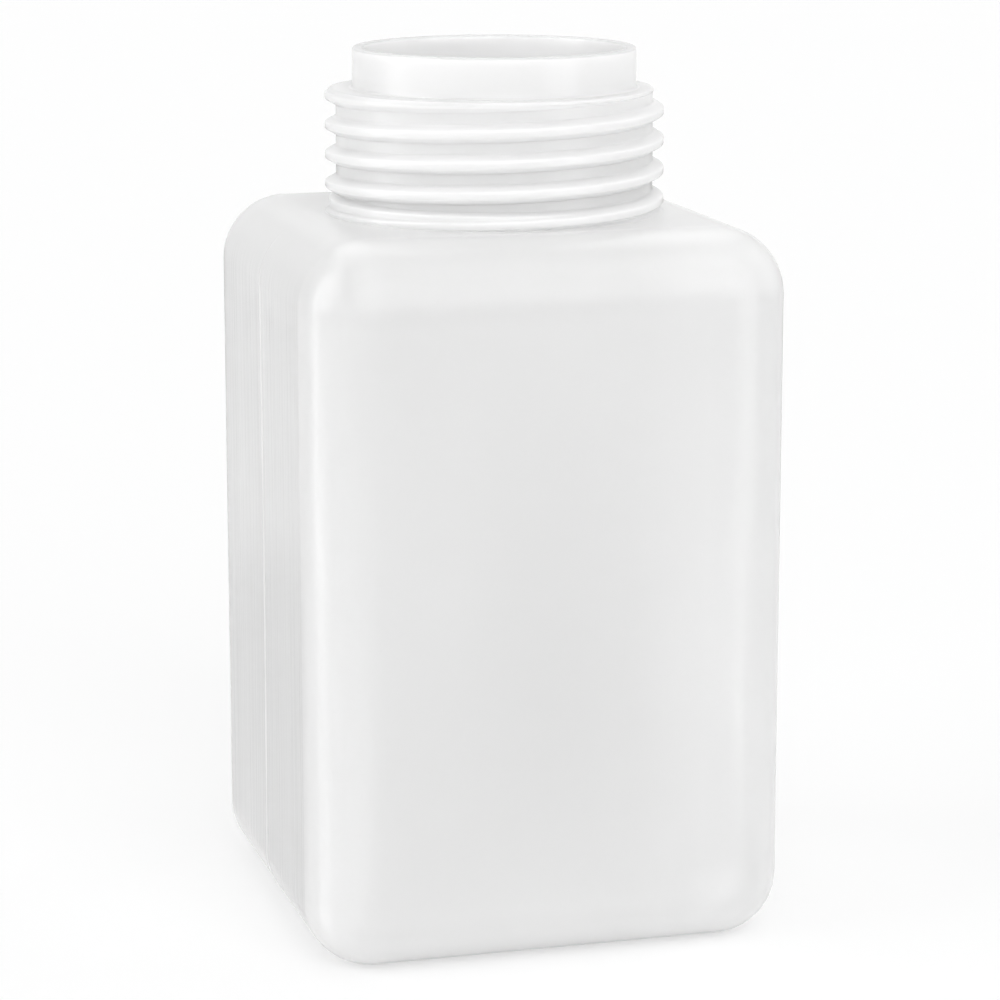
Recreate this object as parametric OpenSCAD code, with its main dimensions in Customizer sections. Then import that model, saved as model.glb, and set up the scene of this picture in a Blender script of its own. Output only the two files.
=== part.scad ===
// Square wide-mouth media bottle, one blow-moulded piece in natural polyethylene.
// The origin is the middle of the base on the surface the bottle stands on. +Z is up and the
// mould's parting plane is the XZ plane, so the seam runs up the -X and +X sides.

/* [Body] */
// Width of the square body across its flat sides
body_width = 95; // [88:0.5:110]
// Radius of the four upright corners
corner_r = 13; // [13:0.5:20]
// Height of the flat shoulder above the base
shoulder_z = 140.8; // [110:0.2:160]
// Radius of the roll between the sides and the shoulder
shoulder_r = 13; // [6:0.5:13]
// Radius of the roll between the sides and the base
base_r = 12.5; // [5:0.5:13]
// Thickness of the blown body wall
body_wall = 1.3; // [0.8:0.1:2.4]

/* [Base] */
// Width of the flat band that the bottle stands on
band_width = 6; // [3:0.5:7]
// Depth of the hollow panel inside the band
panel_depth = 2; // [1:0.1:4]
// Radius of the panel's corners, seen from below
panel_corner_r = 9; // [5:0.5:12]
// Radius of the roll round the panel's rim
panel_edge_r = 1.5; // [0.5:0.1:3]
// Length of the weld line where the mould pinched the tube shut
pinch_length = 44; // [20:1:44]
// Width of that weld line
pinch_width = 1.2; // [0.6:0.1:2]
// Height of that weld line
pinch_height = 0.5; // [0.2:0.1:0.8]

/* [Neck] */
// Root diameter of the threaded neck
neck_d = 62.4; // [59:0.2:65]
// Height of the threaded neck, from the shoulder up to its step
neck_height = 24.3; // [20:0.1:32]
// Thickness of the neck wall
neck_wall = 2; // [1.4:0.1:2.6]
// Outside diameter of the pouring lip
lip_d = 55.8; // [54.5:0.1:57.1]
// Height of the lip above the step
lip_height = 7.9; // [5:0.1:12]
// Inside diameter of the mouth
mouth_d = 51.7; // [47.1:0.1:52.3]
// Thickness of the flat step between the neck and the lip
step_wall = 2; // [1.4:0.1:3]
// How far the collar round the neck's foot stays behind the thread's crest
collar_setback = 0.8; // [0.4:0.1:1.8]
// Height of the collar's upright side above the shoulder
collar_height = 2.7; // [1.8:0.1:3.4]
// How much higher the collar's sloping top meets the neck
collar_rise = 0.7; // [0.3:0.1:2]
// Radius of the fillet between the collar and the shoulder
collar_fillet_r = 1; // [0.3:0.1:1.4]
// Radius of the curves inside the neck, under the step and where it opens into the body
bore_curve_r = 1.5; // [0.5:0.1:1.8]
// Radius that breaks the edges of the step and lip
edge_r = 0.5; // [0.2:0.1:0.5]

/* [Thread] */
// Rise of the thread in one turn
thread_pitch = 5.8; // [5:0.1:8]
// Height of the ridge above the neck's root
thread_depth = 2.2; // [1.2:0.1:3]
// Width of the ridge at its root
thread_root_width = 3.7; // [3:0.1:4.6]
// Width of the ridge at its crest
thread_crest_width = 1.4; // [0.8:0.1:1.8]
// How much the edges of the crest and of the collar are eased
thread_ease = 0.3; // [0.1:0.05:0.3]
// Height of the ridge above the shoulder where it first passes the +X side
thread_start = 2.7; // [1.5:0.1:4]

/* [Seam] */
// How far the parting line stands off the surface
seam_height = 0.2; // [0.1:0.05:0.4]
// Width of the parting line
seam_width = 0.6; // [0.3:0.1:1]

/* [Hidden] */
$fn = 96;
// Overshoot that lets a cut pass right through a surface
over = 1;
step_z = shoulder_z + neck_height;
top_z = step_z + lip_height;
panel_width = body_width - 2 * (base_r + band_width);
bore_d = neck_d - 2 * neck_wall;
collar_r = neck_d / 2 + thread_depth - collar_setback;
// How deep the ridge is rooted in the neck wall, and how many steps draw one turn of it
thread_root = 0.6;
thread_steps = 40;
// Slope of the ridge's flanks, and the turns from the +X side down into the shoulder and up through the step
thread_flank = (thread_root_width - thread_crest_width) / 2 / thread_depth;
turns_down = (thread_start + thread_root_width / 2) / thread_pitch;
turns_up = (neck_height - thread_start + thread_root_width / 2) / thread_pitch;

// What lies between a square corner and the arc that rounds it, seen from the arc's centre.
// It rounds an edge when it is cut away and fillets a corner when it is added.
module corner_waste(r) {
    if (r > 0)
        difference() {
            square(r + over);
            circle(r);
        }
}

// Upright outline through the middle of a block, with its foot and top edges rolled
module block_outline(width, height, foot_r, top_r) {
    difference() {
        translate([-width / 2, 0]) square([width, height]);
        for (side = [0, 1]) mirror([side, 0]) {
            translate([width / 2 - foot_r, foot_r]) mirror([0, 1]) corner_waste(foot_r);
            translate([width / 2 - top_r, height - top_r]) corner_waste(top_r);
        }
    }
}

// Square block with round upright corners and rolled foot and top edges, standing on z = 0.
// Both spans of the outline cross in the middle and a quarter turn of it closes each corner.
module rolled_block(width, height, upright_r, foot_r, top_r) {
    span = width - 2 * upright_r;
    for (turn = [0, 90]) rotate([90, 0, turn])
        linear_extrude(span, center = true) block_outline(width, height, foot_r, top_r);
    for (turn = [0:90:270]) rotate(turn) translate([span / 2, span / 2])
        rotate_extrude(angle = 90) intersection() {
            translate([-span / 2, 0]) block_outline(width, height, foot_r, top_r);
            square([upright_r, height]);
        }
}

// The body's form, moved outwards by grow and downwards by it at the base
module body_form(grow) {
    translate([0, 0, -grow]) rolled_block(
        body_width + 2 * grow, shoulder_z + 2 * grow, corner_r + grow, base_r + grow, shoulder_r + grow
    );
}

// The hollow panel under the base, moved outwards by grow
module panel_form(grow) {
    translate([0, 0, -over]) rolled_block(
        panel_width + 2 * grow, over + panel_depth + grow, panel_corner_r + grow, 0, panel_edge_r + grow
    );
}

// Half section of the collar behind the thread's lowest turn: upright side, eased edge and sloping
// top, with a fillet on the shoulder
module collar_section() {
    slope = collar_rise / (collar_r - neck_d / 2);
    translate([0, shoulder_z]) polygon([
        [0, -body_wall], [collar_r, -body_wall], [collar_r, collar_height - thread_ease],
        [collar_r - thread_ease, collar_height + thread_ease * slope],
        [neck_d / 2, collar_height + collar_rise], [0, collar_height + collar_rise]
    ]);
    translate([collar_r + collar_fillet_r, shoulder_z + collar_fillet_r])
        rotate(180) corner_waste(collar_fillet_r);
}

// Half section of the neck's outside: collar, threaded neck, step and lip
module neck_section() {
    collar_section();
    difference() {
        translate([0, shoulder_z]) square([neck_d / 2, neck_height]);
        translate([neck_d / 2 - edge_r, step_z - edge_r]) corner_waste(edge_r);
    }
    difference() {
        translate([0, shoulder_z]) square([lip_d / 2, neck_height + lip_height]);
        translate([lip_d / 2 - edge_r, top_z - edge_r]) corner_waste(edge_r);
    }
}

// Half section of the neck's inside: flare from the body, wide bore, underside of the step and mouth
module bore_section() {
    translate([bore_d / 2 + bore_curve_r, shoulder_z - body_wall + bore_curve_r])
        rotate(180) corner_waste(bore_curve_r);
    difference() {
        translate([0, shoulder_z - body_wall - over])
            square([bore_d / 2, neck_height + body_wall + over - step_wall]);
        translate([bore_d / 2 - bore_curve_r, step_z - step_wall - bore_curve_r]) corner_waste(bore_curve_r);
    }
    translate([0, shoulder_z]) square([mouth_d / 2, neck_height + lip_height + over]);
    translate([mouth_d / 2 + edge_r, top_z - edge_r]) mirror([1, 0]) corner_waste(edge_r);
}

// Section of the thread's ridge, as its distance from the neck's axis and height from its middle
function ridge_section() =
    let (
        root = neck_d / 2 - thread_root,
        crest = neck_d / 2 + thread_depth,
        half_crest = thread_crest_width / 2,
        half_eased = half_crest + thread_ease * thread_flank,
        half_root = half_crest + (thread_depth + thread_root) * thread_flank
    )
    [
        [root, -half_root], [crest - thread_ease, -half_eased], [crest, thread_ease - half_crest],
        [crest, half_crest - thread_ease], [crest - thread_ease, half_eased], [root, half_root]
    ];

// Right-hand ridge wound round the neck, drawn as one closed sweep of its section
module thread_ridge() {
    section = ridge_section();
    sides = len(section);
    rings = ceil((turns_down + turns_up) * thread_steps);
    points = [
        for (ring = [0:rings], p = section)
            let (turn = ring / thread_steps - turns_down, rise = thread_start + turn * thread_pitch)
            [p[0] * cos(360 * turn), p[0] * sin(360 * turn), shoulder_z + rise + p[1]]
    ];
    skin = [
        for (ring = [0:rings - 1], side = [0:sides - 1])
            let (a = ring * sides + side, b = ring * sides + (side + 1) % sides)
            each [[a, b, a + sides], [b, b + sides, a + sides]]
    ];
    start = [for (side = [sides - 1:-1:0]) side];
    end = [for (side = [0:sides - 1]) rings * sides + side];
    polyhedron(points, concat(skin, [start, end]), convexity = 12);
}

// The thread grows out of the shoulder and is cut off level with the step
module thread() {
    intersection() {
        thread_ridge();
        translate([0, 0, shoulder_z - body_wall / 2])
            cylinder(r = neck_d / 2 + thread_depth + over, h = neck_height + body_wall / 2);
    }
}

// Parting line of the two mould halves, proud of the body all the way round
module seam() {
    intersection() {
        body_form(seam_height);
        translate([-body_width, -seam_width / 2, 0])
            cube([2 * body_width, seam_width, shoulder_z + seam_height]);
    }
}

// Weld line across the hollow panel, where the mould pinched the hot tube shut
module pinch_line() {
    translate([-pinch_length / 2, -pinch_width / 2, panel_depth - pinch_height])
        cube([pinch_length, pinch_width, pinch_height + body_wall / 2]);
}

// Everything inside the walls: the body's hollow over the raised panel, and the way out by the neck
module cavity() {
    difference() {
        body_form(-body_wall);
        panel_form(body_wall);
    }
    rotate_extrude() bore_section();
}

module bottle() {
    color("whitesmoke") {
        difference() {
            union() {
                body_form(0);
                seam();
                rotate_extrude() neck_section();
                thread();
            }
            panel_form(0);
            cavity();
        }
        pinch_line();
    }
}

bottle();
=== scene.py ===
import math

import bpy
import numpy as np
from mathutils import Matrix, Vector


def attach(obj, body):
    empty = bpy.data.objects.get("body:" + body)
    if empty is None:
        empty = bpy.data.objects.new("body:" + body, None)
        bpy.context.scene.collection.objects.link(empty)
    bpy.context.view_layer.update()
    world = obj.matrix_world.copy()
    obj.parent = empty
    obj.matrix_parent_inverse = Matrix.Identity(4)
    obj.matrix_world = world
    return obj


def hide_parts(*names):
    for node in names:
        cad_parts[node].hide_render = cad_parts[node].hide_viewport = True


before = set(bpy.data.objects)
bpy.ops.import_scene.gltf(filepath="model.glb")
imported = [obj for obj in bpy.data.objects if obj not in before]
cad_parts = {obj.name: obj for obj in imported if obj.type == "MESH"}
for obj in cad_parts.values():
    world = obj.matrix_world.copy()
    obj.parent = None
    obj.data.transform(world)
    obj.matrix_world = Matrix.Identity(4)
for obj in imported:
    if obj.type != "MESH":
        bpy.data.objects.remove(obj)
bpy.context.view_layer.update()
scene = bpy.context.scene

# ------------------------------------------------------------------------------------ the bottle
# One extrusion-blow-moulded piece of natural polyethylene: square body, flat shoulder, threaded
# neck, flat step and pouring lip. A tube of hot plastic is blown out against two mould halves that
# part on the XZ plane, so the wall is thin all over and a fine line runs up the left and right.

# Sizes of the bottle in millimetres, which mm turns into metres
mm = 0.001
body_half, corner_r, body_wall = 47.5, 13.0, 1.3
shoulder_z, shoulder_r, base_r = 140.8, 13.0, 12.5
panel_half, panel_corner_r, panel_edge_r, panel_depth, band_edge_r = 29.0, 9.0, 1.5, 2.0, 0.5
root_r, neck_wall, step_z = 31.2, 2.0, 165.1
lip_r, mouth_r, top_z, lip_foot_r, rim_r = 27.9, 25.85, 173.0, 0.4, 0.55
collar_r, collar_side, collar_rise, collar_foot_r = 32.6, 2.7, 0.7, 1.0
step_wall, step_edge_r, mouth_edge_r, bore_curve_r = 2.0, 0.5, 0.5, 1.5
pitch, thread_depth, thread_root, thread_crest, thread_z = 5.8, 2.2, 3.7, 1.4, 143.5
crest_ease, root_ease, collar_ease = 0.3, 0.12, 0.25
seam_high, seam_wide, seam_end, seam_fade = 0.2, 0.3, 3.0, 9.0
pinch_high, pinch_half_length, pinch_wide, pinch_taper = 0.45, 22.0, 0.55, 2.0
flat_half = body_half - corner_r

# One upright cut of the bottle per column: even steps of a degree and a half, and close ones on
# both sides of the parting line
column_step = 1.5
beside_seam = np.array([0.13, 0.26, 0.4, 0.56, 0.8])
beside_seam = np.degrees(np.concatenate([-beside_seam[::-1], beside_seam]) / body_half)
theta = np.radians(np.sort(np.concatenate(
    [np.arange(0, 360, column_step), beside_seam % 360, 180 + beside_seam])))
columns = len(theta)


def square_reach(half, corner):
    """Distance from the axis to a square with rounded corners, along each column. On a flat side
    it is the half width over the cosine; round a corner it solves the triangle of the corner's
    centre, its radius and the column."""
    half, corner = np.broadcast_arrays(
        np.atleast_1d(half)[:, None], np.atleast_1d(corner)[:, None])
    a = np.abs((theta + np.pi / 4) % (np.pi / 2) - np.pi / 4)
    core = half - corner
    k = core * (np.cos(a) + np.sin(a))
    round_corner = k + np.sqrt(np.maximum(k * k - 2 * core * core + corner * corner, 0))
    return np.where(half * np.tan(a) <= core, half / np.cos(a), round_corner)


def soft_max(a, b, ease):
    """The greater of two surfaces, with the crease where they cross filled by a hyperbola."""
    return 0.5 * (a + b + np.sqrt((a - b) ** 2 + ease * ease))


def soft_min(a, b, ease):
    """The lesser of two surfaces, with the ridge where they cross rounded by a hyperbola."""
    return -soft_max(-a, -b, ease)


def neck_reach(angle, z):
    """The neck's outside at an angle and height. It is the greatest of three: the root; a
    right-hand ridge that climbs one pitch a turn, with straight flanks and a blunt, eased crest;
    and the collar, an upright side with a sloping top and a fillet down to the shoulder."""
    from_crest = (z - thread_z - pitch * angle / (2 * np.pi) + pitch / 2) % pitch - pitch / 2
    steepness = 2 * thread_depth / (thread_root - thread_crest)
    flank = (thread_root / 2 - np.abs(from_crest)) * steepness
    ridge = root_r + soft_max(soft_min(flank, thread_depth, crest_ease), 0, root_ease)
    above_side = z - shoulder_z - collar_side
    slope = collar_r - above_side * (collar_r - root_r) / collar_rise
    sink = np.clip(shoulder_z + collar_foot_r - z, 0, collar_foot_r)
    fillet = collar_foot_r - np.sqrt(collar_foot_r ** 2 - sink ** 2)
    collar = soft_min(collar_r + fillet, slope, collar_ease)
    return soft_max(ridge, collar, root_ease)


def block_top(reach, top, half, corner, roll):
    """Height of a block's top over the columns at those reaches: flat in the middle and rolled
    down by a quarter circle towards the outline, which is a square with rounded corners."""
    x, y = np.abs(reach * np.cos(theta)), np.abs(reach * np.sin(theta))
    core = half - corner
    in_corner = (x > core) & (y > core)
    inset = np.where(in_corner, corner - np.hypot(x - core, y - core), half - np.maximum(x, y))
    lean = np.clip(roll - inset, 0, roll)
    return top - roll + np.sqrt(roll * roll - lean * lean)


def arc(steps, start=0, stop=90):
    """Cosines and sines of even steps of an arc, both ends included, as two columns."""
    a = np.radians(np.linspace(start, stop, steps))[:, None]
    return np.cos(a), np.sin(a)


def rings(reach, z):
    """Level or uneven rings as one array of reach and height for each ring and column."""
    return np.stack(np.broadcast_arrays(np.atleast_2d(reach + 0 * theta), z + 0 * theta))


def block_rings(half, corner, inset, z):
    """Rings round a square with rounded corners, drawn in by the inset on every side."""
    return rings(square_reach(half - inset[:, 0], corner - inset[:, 0]), z)


def spread(near, far, steps):
    """Values from near to far in even steps, without both ends."""
    return near + (far - near) * (np.arange(1, steps) / steps)[:, None]


# The underside, from the middle out: hollow panel, its rim, and the band that it stands on
ceiling = panel_half - panel_edge_r
share = np.array([0.05, 0.12, 0.2, 0.3, 0.4, 0.5, 0.6, 0.7, 0.8, 0.88, 0.94])
ceiling_corner = panel_corner_r - panel_edge_r
panel = rings(square_reach(ceiling * share, ceiling_corner * share), panel_depth)
c, s = arc(5)
panel_rim = block_rings(panel_half, panel_corner_r, panel_edge_r * (1 - s),
                        panel_depth - panel_edge_r * (1 - c))
c, s = arc(4)
band_rim = block_rings(panel_half, panel_corner_r, -band_edge_r * (1 - c), band_edge_r * (1 - s))
band_halves, band_corners = np.array([31.2, 33.2]), np.array([5.0, 2.0])
band = rings(square_reach(band_halves, band_corners), 0.0)

# The side, from the standing band up over the base roll, the wall and the shoulder roll
c, s = arc(14)
base_roll = block_rings(body_half, corner_r, base_r * (1 - s), base_r * (1 - c))
wall_z = spread(base_r, shoulder_z - shoulder_r, 16)
wall = rings(square_reach(body_half, corner_r), wall_z)
c, s = arc(14, 0, 80)
shoulder_roll = block_rings(body_half, corner_r, shoulder_r * (1 - c),
                            shoulder_z - shoulder_r * (1 - s))
reach = spread(shoulder_roll[0, -1], collar_r + collar_foot_r, 10)
shoulder = rings(reach, block_top(reach, shoulder_z, body_half, corner_r, shoulder_r))

# The neck's foot: fillet, collar and the thread's lowest turn, in close level rows, because the
# turn slants across them and sinks into the shoulder
c, s = arc(5, 0, 45)
over_collar = 0.2
neck_foot_z = shoulder_z + collar_side + collar_rise + over_collar
fillet_z = shoulder_z + collar_foot_r * (1 - c)
foot_z = np.concatenate([fillet_z, spread(fillet_z[-1, 0], neck_foot_z, 27), [[neck_foot_z]]])
neck_foot = rings(neck_reach(theta, foot_z), foot_z)

# The threaded neck: rows that climb with the thread, so that its crest and flanks stay sharp.
# They are spaced across one pitch and run past both ends of the neck, where they are cut off level
across = np.array([0, 0.22, 0.4, 0.52, 0.65, 0.8, 1, 1.25, 1.5, 1.7, 1.84, 1.95, 2.06, 2.22, 2.5])
across = np.concatenate([[-pitch / 2], -across[:0:-1], across])
per_turn = len(across)
turn = np.arange(-1, 5)
climb = (thread_z + pitch * turn[:, None] + across).ravel()
neck_z = climb[:, None] + pitch * theta / (2 * np.pi)
neck_top_z = step_z - step_edge_r

# Above the thread: broken edge of the step, the flat step, and the plain lip with its rounded rim
thread_end = neck_reach(theta, neck_top_z)
neck_end = rings(thread_end, neck_top_z)
c, s = arc(4)
step_edge = rings(thread_end - step_edge_r * (1 - c[1:]), neck_top_z + step_edge_r * s[1:])
step = rings(spread(thread_end - step_edge_r, lip_r + lip_foot_r, 4), step_z)
c, s = arc(4)
lip_foot = rings(lip_r + lip_foot_r * (1 - s), step_z + lip_foot_r * (1 - c))
lip_side = rings(lip_r, spread(step_z + lip_foot_r, top_z - rim_r, 5))
c, s = arc(6)
rim_outside = rings(lip_r - rim_r * (1 - c), top_z - rim_r * (1 - s))
rim_inside = rings(mouth_r + rim_r * (1 - s), top_z - rim_r * (1 - c))

# Inside, from the mouth down: underside of the step, wide bore, flare, and the hollow body
under_z = step_z - step_wall
bore_r = root_r - neck_wall
mouth_side = rings(mouth_r, spread(top_z - rim_r, under_z + mouth_edge_r, 5))
c, s = arc(4)
mouth_edge = rings(mouth_r + mouth_edge_r * (1 - c), under_z + mouth_edge_r * (1 - s))
c, s = arc(6)
bore_top = rings(bore_r - bore_curve_r * (1 - s), under_z - bore_curve_r * (1 - c))
inner_top = shoulder_z - body_wall
bore = rings(bore_r, spread(under_z - bore_curve_r, inner_top + bore_curve_r, 8))
flare = rings(bore_r + bore_curve_r * (1 - c), inner_top + bore_curve_r * (1 - s))
inner_half, inner_corner = body_half - body_wall, corner_r - body_wall
inner_roll, inner_base_r = shoulder_r - body_wall, base_r - body_wall
c, s = arc(9, 80, 0)
inner_shoulder_roll = block_rings(inner_half, inner_corner, inner_roll * (1 - c),
                                  inner_top - inner_roll * (1 - s))
reach = spread(bore_r + bore_curve_r, inner_shoulder_roll[0, 0], 8)
under_shoulder = rings(reach, block_top(reach, inner_top, inner_half, inner_corner, inner_roll))
inner_wall = rings(square_reach(inner_half, inner_corner),
                   spread(inner_top - inner_roll, body_wall + inner_base_r, 8))
c, s = arc(9)
inner_base_roll = block_rings(inner_half, inner_corner, inner_base_r * (1 - c),
                              body_wall + inner_base_r * (1 - s))
rise_r = panel_edge_r + body_wall
rise_foot = math.degrees(math.asin((body_wall - panel_depth + panel_edge_r) / rise_r))
c, s = arc(7, rise_foot, 90)
inner_rise = block_rings(ceiling, ceiling_corner, -rise_r * c,
                         panel_depth - panel_edge_r + rise_r * s)
share = np.array([0.85, 0.7, 0.55, 0.4, 0.25, 0.1])
inner_floor = rings(square_reach(ceiling * share, ceiling_corner * share), panel_depth + body_wall)

below = np.concatenate([panel, panel_rim[:, :-1], band_rim, band, base_roll, wall, shoulder_roll,
                        shoulder, neck_foot], axis=1)
above = np.concatenate([neck_end, step_edge, step, lip_foot, lip_side, rim_outside, rim_inside,
                        mouth_side, mouth_edge, bore_top, bore, flare, under_shoulder,
                        inner_shoulder_roll, inner_wall, inner_base_roll, inner_rise,
                        inner_floor], axis=1)


def place(reach, z, angle):
    """Points at a reach from the axis, along each column's angle and at a height."""
    return np.stack([reach * np.cos(angle), reach * np.sin(angle), z + 0 * reach], axis=-1)


def add_seam(points):
    """Pushes the outside of the body out along its parting line by a bell curve across the line.
    It runs up the left and right sides, over the base roll, and fades out on the shoulder roll."""
    x, y, z = points[..., 0], points[..., 1], points[..., 2]
    bell = np.exp(-(y / seam_wide) ** 2) * (np.abs(x) > body_half - base_r)
    fade = np.clip((shoulder_z - seam_end - z) / seam_fade, 0, 1)
    lean = np.clip((base_r - z) / base_r, 0, 1)
    outward = seam_high * bell * fade
    points[..., 0] += np.sign(x) * outward * np.sqrt(1 - lean ** 2)
    points[..., 2] -= np.minimum(outward * lean, z)
    return points


def add_pinch(points):
    """Lowers the middle of the hollow panel along a bell curve: the weld where the tube closed."""
    x, y = points[..., 0], points[..., 1]
    ends = np.clip((pinch_half_length - np.abs(x)) / pinch_taper, 0, 1)
    points[..., 2] -= pinch_high * np.exp(-(y / pinch_wide) ** 2) * ends
    return points


def sink_sides(points, depth, bluntness):
    """Draws the four flat sides in by the depth in their middle, as cooling plastic shrinks: a
    squared sine across each side times a sine up it, which a power below 1 blunts."""
    up = np.clip((points[..., 2] - base_r) / (shoulder_z - shoulder_r - base_r), 0, 1)
    rise = np.sin(np.pi * up) ** bluntness
    for axis, other in ((0, 1), (1, 0)):
        near = np.clip(1 - np.abs(points[..., other]) / flat_half, 0, 1)
        on_side = np.abs(points[..., axis]) > flat_half
        points[..., axis] -= (np.sign(points[..., axis]) * depth * rise * on_side
                              * np.sin(0.5 * np.pi * near) ** 2)
    return points


lower = place(below[0], below[1], theta)
lower = add_seam(sink_sides(lower, depth=0.22, bluntness=0.7))
lower[:panel.shape[1]] = add_pinch(lower[:panel.shape[1]])
middle = place(neck_reach(theta, neck_z), neck_z, theta)
upper = place(above[0], above[1], theta)

# Join the rings into one skin. A row of the thread joins the row one pitch up where a turn ends,
# and where it comes near an end of the neck it merges into the level ring there.
merged = 0.05
kept = (neck_z > neck_foot_z + merged) & (neck_z < neck_top_z - merged)
lower_count, upper_count = below.shape[1], above.shape[1]
lower_index = np.arange(lower_count * columns).reshape(lower_count, columns)
middle_index = np.where(neck_z < (neck_foot_z + neck_top_z) / 2, lower_index[-1], -1)
middle_index[kept] = lower_index.size + np.arange(kept.sum())
upper_index = lower_index.size + kept.sum() + np.arange(upper_count * columns).reshape(
    upper_count, columns)
middle_index = np.where(middle_index < 0, upper_index[0], middle_index)
next_turn = np.concatenate([middle_index[per_turn:, :1],
                            np.repeat(upper_index[:1, :1], per_turn, axis=0)])
middle_index = np.concatenate([middle_index, next_turn], axis=1)
pole_index = upper_index[-1, -1] + 1 + np.arange(2)
poles = np.array([[0, 0, panel_depth - pinch_high], [0, 0, panel_depth + body_wall]])


def quads(index):
    """Corners of the cell between each row and the next, and each column and the next."""
    return np.stack([index[:-1, :-1], index[:-1, 1:], index[1:, 1:], index[1:, :-1]],
                    axis=-1).reshape(-1, 4)


def closed(index):
    """The same rows of a ring with the first column repeated at the end."""
    return np.concatenate([index, index[:, :1]], axis=1)


def faces_of(cells):
    """Cells as faces: whole ones stay quads, and ones with two corners in one point become
    triangles or vanish."""
    apart = cells != np.roll(cells, -1, axis=1)
    crossed = (cells[:, 0] == cells[:, 2]) | (cells[:, 1] == cells[:, 3])
    whole = cells[apart.all(axis=1) & ~crossed]
    three = (apart.sum(axis=1) == 3) & ~crossed
    triangles = cells[three][apart[three]].reshape(-1, 3)
    return whole.tolist() + triangles.tolist()


skin = np.concatenate([quads(closed(lower_index)), quads(middle_index),
                       quads(closed(upper_index))])
first, last = closed(lower_index[:1])[0], closed(upper_index[-1:])[0]
fans = np.concatenate([
    np.stack([first[1:], first[:-1], np.full(columns, pole_index[0])], axis=-1),
    np.stack([last[:-1], last[1:], np.full(columns, pole_index[1])], axis=-1)])
points = np.concatenate([lower.reshape(-1, 3), middle[kept], upper.reshape(-1, 3), poles])

shell = bpy.data.meshes.new("bottle_shell")
shell.from_pydata((points * mm).tolist(), [], faces_of(skin) + fans.tolist())
shell.polygons.foreach_set("use_smooth", np.ones(len(shell.polygons), bool))
shell.update()
bottle = bpy.data.objects.new("bottle_shell", shell)
scene.collection.objects.link(bottle)


class Wire:
    """A socket that + - * / and a few named steps turn into Math nodes."""

    def __init__(self, finish, socket):
        self.finish, self.socket = finish, socket

    def math(self, operation, *values):
        return self.finish.node("ShaderNodeMath", {"operation": operation}, [self, *values])

    def __add__(self, other):
        return self.math("ADD", other)

    def __sub__(self, other):
        return self.math("SUBTRACT", other)

    def __rsub__(self, other):
        return self.finish.node("ShaderNodeMath", {"operation": "SUBTRACT"}, [other, self])

    def __mul__(self, other):
        return self.math("MULTIPLY", other)

    def __truediv__(self, other):
        return self.math("DIVIDE", other)

    __radd__, __rmul__ = __add__, __mul__


class Finish:
    """A new material or world. Its node() adds a node: the settings first, then the sockets."""

    def __init__(self, name, made_in="materials", output="ShaderNodeOutputMaterial"):
        self.material = getattr(bpy.data, made_in).new(name)
        self.material.use_nodes = True
        self.tree = self.material.node_tree
        self.tree.nodes.clear()
        self.output = self.tree.nodes.new(output)

    def node(self, kind, settings=None, values=(), out=0):
        made = self.tree.nodes.new(kind)
        for name, value in (settings or {}).items():
            setattr(made, name, value)
        pairs = values.items() if isinstance(values, dict) else enumerate(values)
        for name, value in pairs:
            if isinstance(value, Wire):
                self.tree.links.new(value.socket, made.inputs[name])
            else:
                made.inputs[name].default_value = value
        return Wire(self, made.outputs[out])

    def seen_directly(self):
        """1 for rays to the camera, from gloss or through glass, and 0 for scattered ones."""
        camera = self.node("ShaderNodeLightPath")
        glossy, through = (Wire(self, camera.socket.node.outputs[f"Is {kind} Ray"])
                           for kind in ("Glossy", "Transmission"))
        return camera.math("MAXIMUM", glossy).math("MAXIMUM", through)

    def surface(self, shader):
        self.tree.links.new(shader.socket, self.output.inputs["Surface"])


natural = Finish("natural_polyethylene")
where = natural.node("ShaderNodeTexCoord", out="Object")
x = natural.node("ShaderNodeSeparateXYZ", values=[where])
y, z = (Wire(natural, x.socket.node.outputs[axis]) for axis in "YZ")


def mottle(scale, stretch, detail, roughness=0.5):
    """Noise over the object, drawn out by stretch along X, Y and Z, about 0.5 in the middle."""
    at = natural.node("ShaderNodeMapping", values={"Vector": where, "Scale": stretch})
    return natural.node("ShaderNodeTexNoise", values={
        "Vector": at, "Scale": scale, "Detail": detail, "Roughness": roughness})


def step_from(distance, nothing, full):
    """A soft step of a distance in metres: 0 at nothing and 1 at full, which are millimetres."""
    return natural.node("ShaderNodeMapRange", {"interpolation_type": "SMOOTHSTEP"},
                        {"Value": distance, "From Min": nothing * mm, "From Max": full * mm})


# Die lines are drawn down the left and right sides as the tube leaves its die, and end where the
# corners begin. The parting line gets a painted highlight, with painted shade on both sides.
off_seam, off_middle = y.math("ABSOLUTE"), x.math("ABSOLUTE")
drawn_side = (step_from(off_middle, body_half - 5, body_half - 2)
              * step_from(off_seam, flat_half + 0.5, flat_half - 0.2)
              * step_from(z, shoulder_z - 4.8, shoulder_z - 18.8) * step_from(z, 4, 14))
drawn = mottle(520, (0, 1, 0.012), 4, 0.7)
die_lines = (drawn - 0.5) * drawn_side
beside_corner = 0.4 + 0.6 * step_from(off_seam, 18, 33)
on_seam = (step_from(off_middle, body_half - 14.5, body_half - 12)
           * step_from(z, shoulder_z - 8.8, shoulder_z - 18.8))
# Painted highlight along the parting line, and painted shade in a band round it
seam_painted_highlight = on_seam * step_from(off_seam, 0.6, 0.2)
seam_band_painted_shade = on_seam * step_from(off_seam, 2.2, 0.9)
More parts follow.
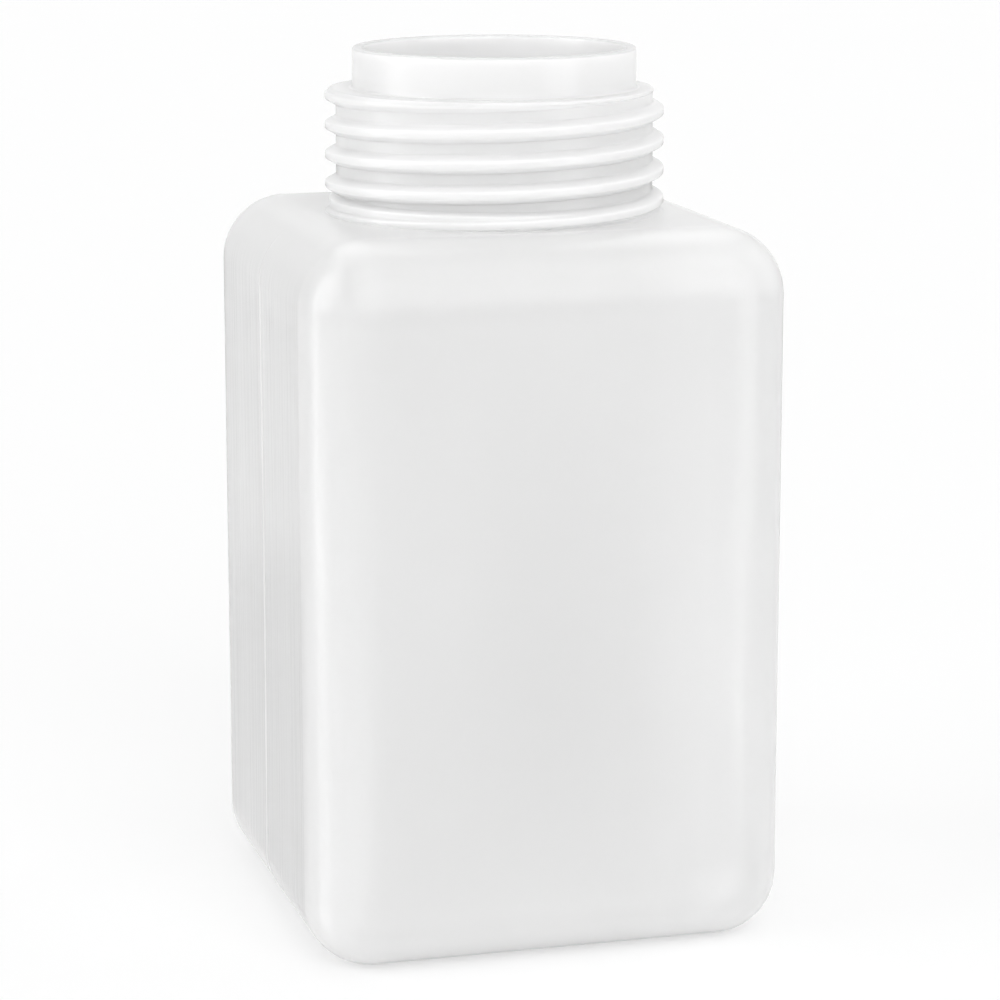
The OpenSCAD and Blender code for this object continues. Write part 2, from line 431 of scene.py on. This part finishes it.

# The tint holds painted light and shade for how light falls on and through the milky plastic:
# painted shade on the shoulder's roll, the step, the rim and the thread, and most between the
# thread's turns; painted light under the thread's ridge, at the neck's foot, in the mouth, and on
# the right of the body.
from_axis = (x * x + y * y).math("SQRT")
on_neck = step_from(z, shoulder_z - 0.3, shoulder_z + 1.2)
on_body = 1 - on_neck
# Painted shade on the shoulder's roll, half as strong at its top
on_shoulder = (step_from(z, shoulder_z - 16.8, shoulder_z - 6.8) * on_body
               * (1 - step_from(z, shoulder_z - 2.8, shoulder_z - 0.3) * 0.5))
# Painted light: the body grows lighter towards +X, and less so on its right side itself
painted_light_right = (step_from(x, 12, 34) - step_from(x, body_half - 5.5, body_half - 1) * 0.7) * on_body
# Painted light at the neck's foot, where the collar meets the shoulder
at_foot = (step_from(from_axis, collar_r + 5.9, collar_r + 1.4)
           * step_from(from_axis, collar_r - 0.8, collar_r + 0.4)
           * step_from(z, shoulder_z - 0.8, shoulder_z - 0.2)
           * step_from(z, shoulder_z + 4.7, shoulder_z + 1.7))
# Painted shade on the lip, the step and the rim
on_lip = step_from(z, step_z - 0.1, step_z + 0.9)
on_step = (step_from(z, step_z - 1.1, step_z - 0.2)
           * step_from(from_axis, lip_r + 0.3, lip_r + 0.9))
on_rim = step_from(z, top_z - 0.6, top_z - 0.2)
# Painted light inside the mouth
in_mouth = (step_from(from_axis, mouth_r + 0.35, mouth_r - 0.15)
            * step_from(z, step_z - 10.1, step_z - 0.1))

# The height above the middle of the ridge, which climbs one pitch a turn, tells its flanks apart
turns = y.math("ARCTAN2", x) / math.tau
climbed = (z - thread_z * mm) / (pitch * mm) - turns
over_ridge = ((climbed + 0.5).math("FRACT") - 0.5) * (pitch * mm)
on_thread = on_neck * (1 - on_lip)
on_ridge = on_thread * step_from(from_axis, root_r + 0.2, root_r + 1)
# Painted light on the ridge's lower flank
under_ridge = on_ridge * step_from(over_ridge, -0.174, -0.87)
# Painted shade between the thread's turns, stronger towards the shoulder
in_groove = (on_thread * (1 - on_ridge)
             * (step_from(z, step_z - 2.1, shoulder_z + 2.2) * 0.40 + 0.12))

# The tint is usually at one place between a darker and a paler grey, and contrast scales what
# moves it from there: the painted light and shade, the die lines and a random cloud.
# Painted light, summed by region
painted_light = painted_light_right * 0.42 + in_mouth * 0.42 + at_foot * 0.12 + under_ridge * 0.12
# Painted shade, summed by region, on the whole of the thread's ridge as well
painted_shade = (on_shoulder * 0.48 + in_groove + on_ridge * 0.36 + on_lip * 0.13 + on_step * 0.5
          + on_rim * 0.9)
# Die-line stripes are the plastic's own tone; the even darkening where they are drawn, stronger
# towards the corners, is painted shade
die_lines_and_painted_light = ((die_lines * 0.55 - drawn_side * 0.26) * beside_corner
              + seam_painted_highlight * 0.34 - seam_band_painted_shade * 0.07)
cloud = (mottle(14, (1, 1, 1), 3) - 0.5) * 0.06
grain = mottle(900, (1, 1, 1), 2)
usual, contrast = 0.79, 0.583
tint = natural.node("ShaderNodeMix", {"data_type": "RGBA"}, {
    "Factor": (painted_light - painted_shade + die_lines_and_painted_light + cloud) * contrast + usual,
    "A": (0.50, 0.50, 0.50, 1), "B": (0.98, 0.98, 0.98, 1)}, out="Result")
natural.surface(natural.node("ShaderNodeBsdfPrincipled", values={
    "Base Color": tint,
    "Roughness": 0.26,
    "IOR": 1.54,
    "Subsurface Weight": 1.0,
    "Subsurface Radius": (1.0, 1.0, 1.0),
    "Subsurface Scale": 0.004,
    "Normal": natural.node("ShaderNodeBump", values={
        "Strength": 0.5, "Distance": 0.0002, "Height": die_lines * 2.0 + grain * 0.05}),
}))
shell.materials.append(natural.material)
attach(bottle, "root")
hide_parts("bottle")

# ------------------------------------------------------------------------------------- the floor
# A plain sheet of white paper that the bottle stands on. To the camera and in reflections it is
# mixed with pure white, so that it reads as white and still holds the bottle's soft shadow.
floor_side, floor_front, floor_back = 6.0, -1.2, 12.0
whitened = 0.6
paper = Finish("white_paper")
lit = paper.node("ShaderNodeBsdfPrincipled", values={
    "Base Color": (0.93, 0.93, 0.93, 1), "Roughness": 1.0, "Specular IOR Level": 0.0})
white = paper.node("ShaderNodeEmission", values={"Color": (1, 1, 1, 1), "Strength": 1.0})
paper.surface(paper.node("ShaderNodeMixShader", values=[
    paper.seen_directly() * whitened, lit, white]))


def flat_sheet(name, corners, finish):
    """One flat face through the corners, in metres, which belongs to the scene alone."""
    mesh = bpy.data.meshes.new(name)
    mesh.from_pydata(corners, [], [range(len(corners))])
    mesh.materials.append(finish.material)
    sheet = bpy.data.objects.new(name, mesh)
    scene.collection.objects.link(sheet)
    return sheet


flat_sheet("floor", [(-floor_side, floor_front, 0), (floor_side, floor_front, 0),
                     (floor_side, floor_back, 0), (-floor_side, floor_back, 0)], paper)

# ------------------------------------------------------------------------------------ the camera
# A long lens that looks from the front left, a little above the bottle. It aims at a point beside
# the bottle's axis, and is shifted to set the bottle's height in the picture.
yaw, down, distance = math.radians(15.66), math.radians(11.21), 0.70614
aim_beside, aim_height = 0.00114, 0.09423
ahead = Vector((math.sin(yaw) * math.cos(down), math.cos(yaw) * math.cos(down), -math.sin(down)))
aim = Vector((aim_beside * math.cos(yaw), -aim_beside * math.sin(yaw), aim_height))
view = bpy.data.cameras.new("view")
view.sensor_width, view.lens, view.shift_y = 36.0, 126.877, -0.06
camera = bpy.data.objects.new("view", view)
camera.location = aim - ahead * distance
camera.rotation_euler = ahead.to_track_quat("-Z", "Y").to_euler()
scene.collection.objects.link(camera)
scene.camera = camera
scene.view_settings.view_transform = "Standard"

# ------------------------------------------------------------------------------------ the studio
# A white room with seven broad soft lamps round the bottle. The camera and reflections see the
# room as white, and it adds only a little light of its own.
room_light = 0.23
room = Finish("studio", "worlds", "ShaderNodeOutputWorld")
room.surface(room.node("ShaderNodeBackground", values={
    "Color": (1, 1, 1, 1), "Strength": room.seen_directly() * (1 - room_light) + room_light}))
scene.world = room.material

# Each lamp's direction round the bottle from +X and its height, in degrees, and its strength
lamp_spread = math.radians(50)
soft_lamps = [(0, 25, 0.17), (0, 60, 0.08), (90, 60, 0.19), (180, 25, 0.35), (225, 25, 0.05),
              (270, 25, 0.35), (270, 60, 0.235)]
for number, (round_from_x, height, strength) in enumerate(soft_lamps):
    round_axis, up = math.radians(round_from_x), math.radians(height)
    towards = Vector((math.cos(round_axis) * math.cos(up), math.sin(round_axis) * math.cos(up),
                      math.sin(up)))
    lamp = bpy.data.lights.new(f"soft_lamp_{number}", "SUN")
    lamp.angle, lamp.energy = lamp_spread, math.pi * strength
    stand = bpy.data.objects.new(lamp.name, lamp)
    stand.rotation_euler = towards.to_track_quat("Z", "Y").to_euler()
    scene.collection.objects.link(stand)

# ------------------------------------------------------------------------------------- the cards
# Flat glowing sheets that show in gloss alone, with white above 1, the strength of the room. White
# ones brighten the near corner and the right side. Grey, dark and black ones on the floor tone the
# body's left side, its front and the neck's edges.


def upright(start, end, top):
    """The corners of an upright rectangle on the floor, over the line from start to end."""
    return [(*start, 0), (*end, 0), (*end, top), (*start, top)]


def wedge(foot, start, end, reach):
    """The corners of a level triangle that opens from its foot between two directions from +X."""
    foot = Vector(foot)
    turns = np.radians([start, end])
    return [foot] + [foot + reach * Vector((math.cos(turn), math.sin(turn), 0)) for turn in turns]


def card(name, corners, strength):
    """A flat sheet of one brightness that glossy reflections see and nothing else does."""
    finish = Finish(name)
    finish.surface(finish.node("ShaderNodeEmission", values={
        "Color": (1, 1, 1, 1), "Strength": strength}))
    sheet = flat_sheet(name, corners, finish)
    sheet.visible_camera = sheet.visible_diffuse = sheet.visible_transmission = False
    sheet.visible_volume_scatter = sheet.visible_shadow = False


card("strip_left", upright((-0.36, -0.006), (-0.36, 0.11), 1.0), 2.6)
card("strip_right", upright((0.17, -0.38), (0.33, -0.24), 0.8), 2.4)

# The rest lie a hair above the floor, and where two overlap the higher one shows
card("white_wedge", wedge((-0.044, -0.041, 0.0005), 161, 186, 0.5), 2.2)
card("white_wedge_right", wedge((0.03, -0.048, 0.0004), 289, 310, 0.36), 2.4)
card("grey_wedge", wedge((-0.0478, -0.02, 0.0005), 95, 125, 0.35), 0.6)
card("dark_front", [(-0.05, -0.05, 0.0005), (0.1, -0.05, 0.0005), (0.1, -0.28, 0.0005),
                    (-0.05, -0.28, 0.0005)], 0.2)
card("black_wedge_left", wedge((-0.02, 0.05, 0.0006), 86.3, 97.3, 1.3), 0.0)
card("black_wedge_right", wedge((0.047, 0.035, 0.0006), 51.3, 62.3, 1.3), 0.0)
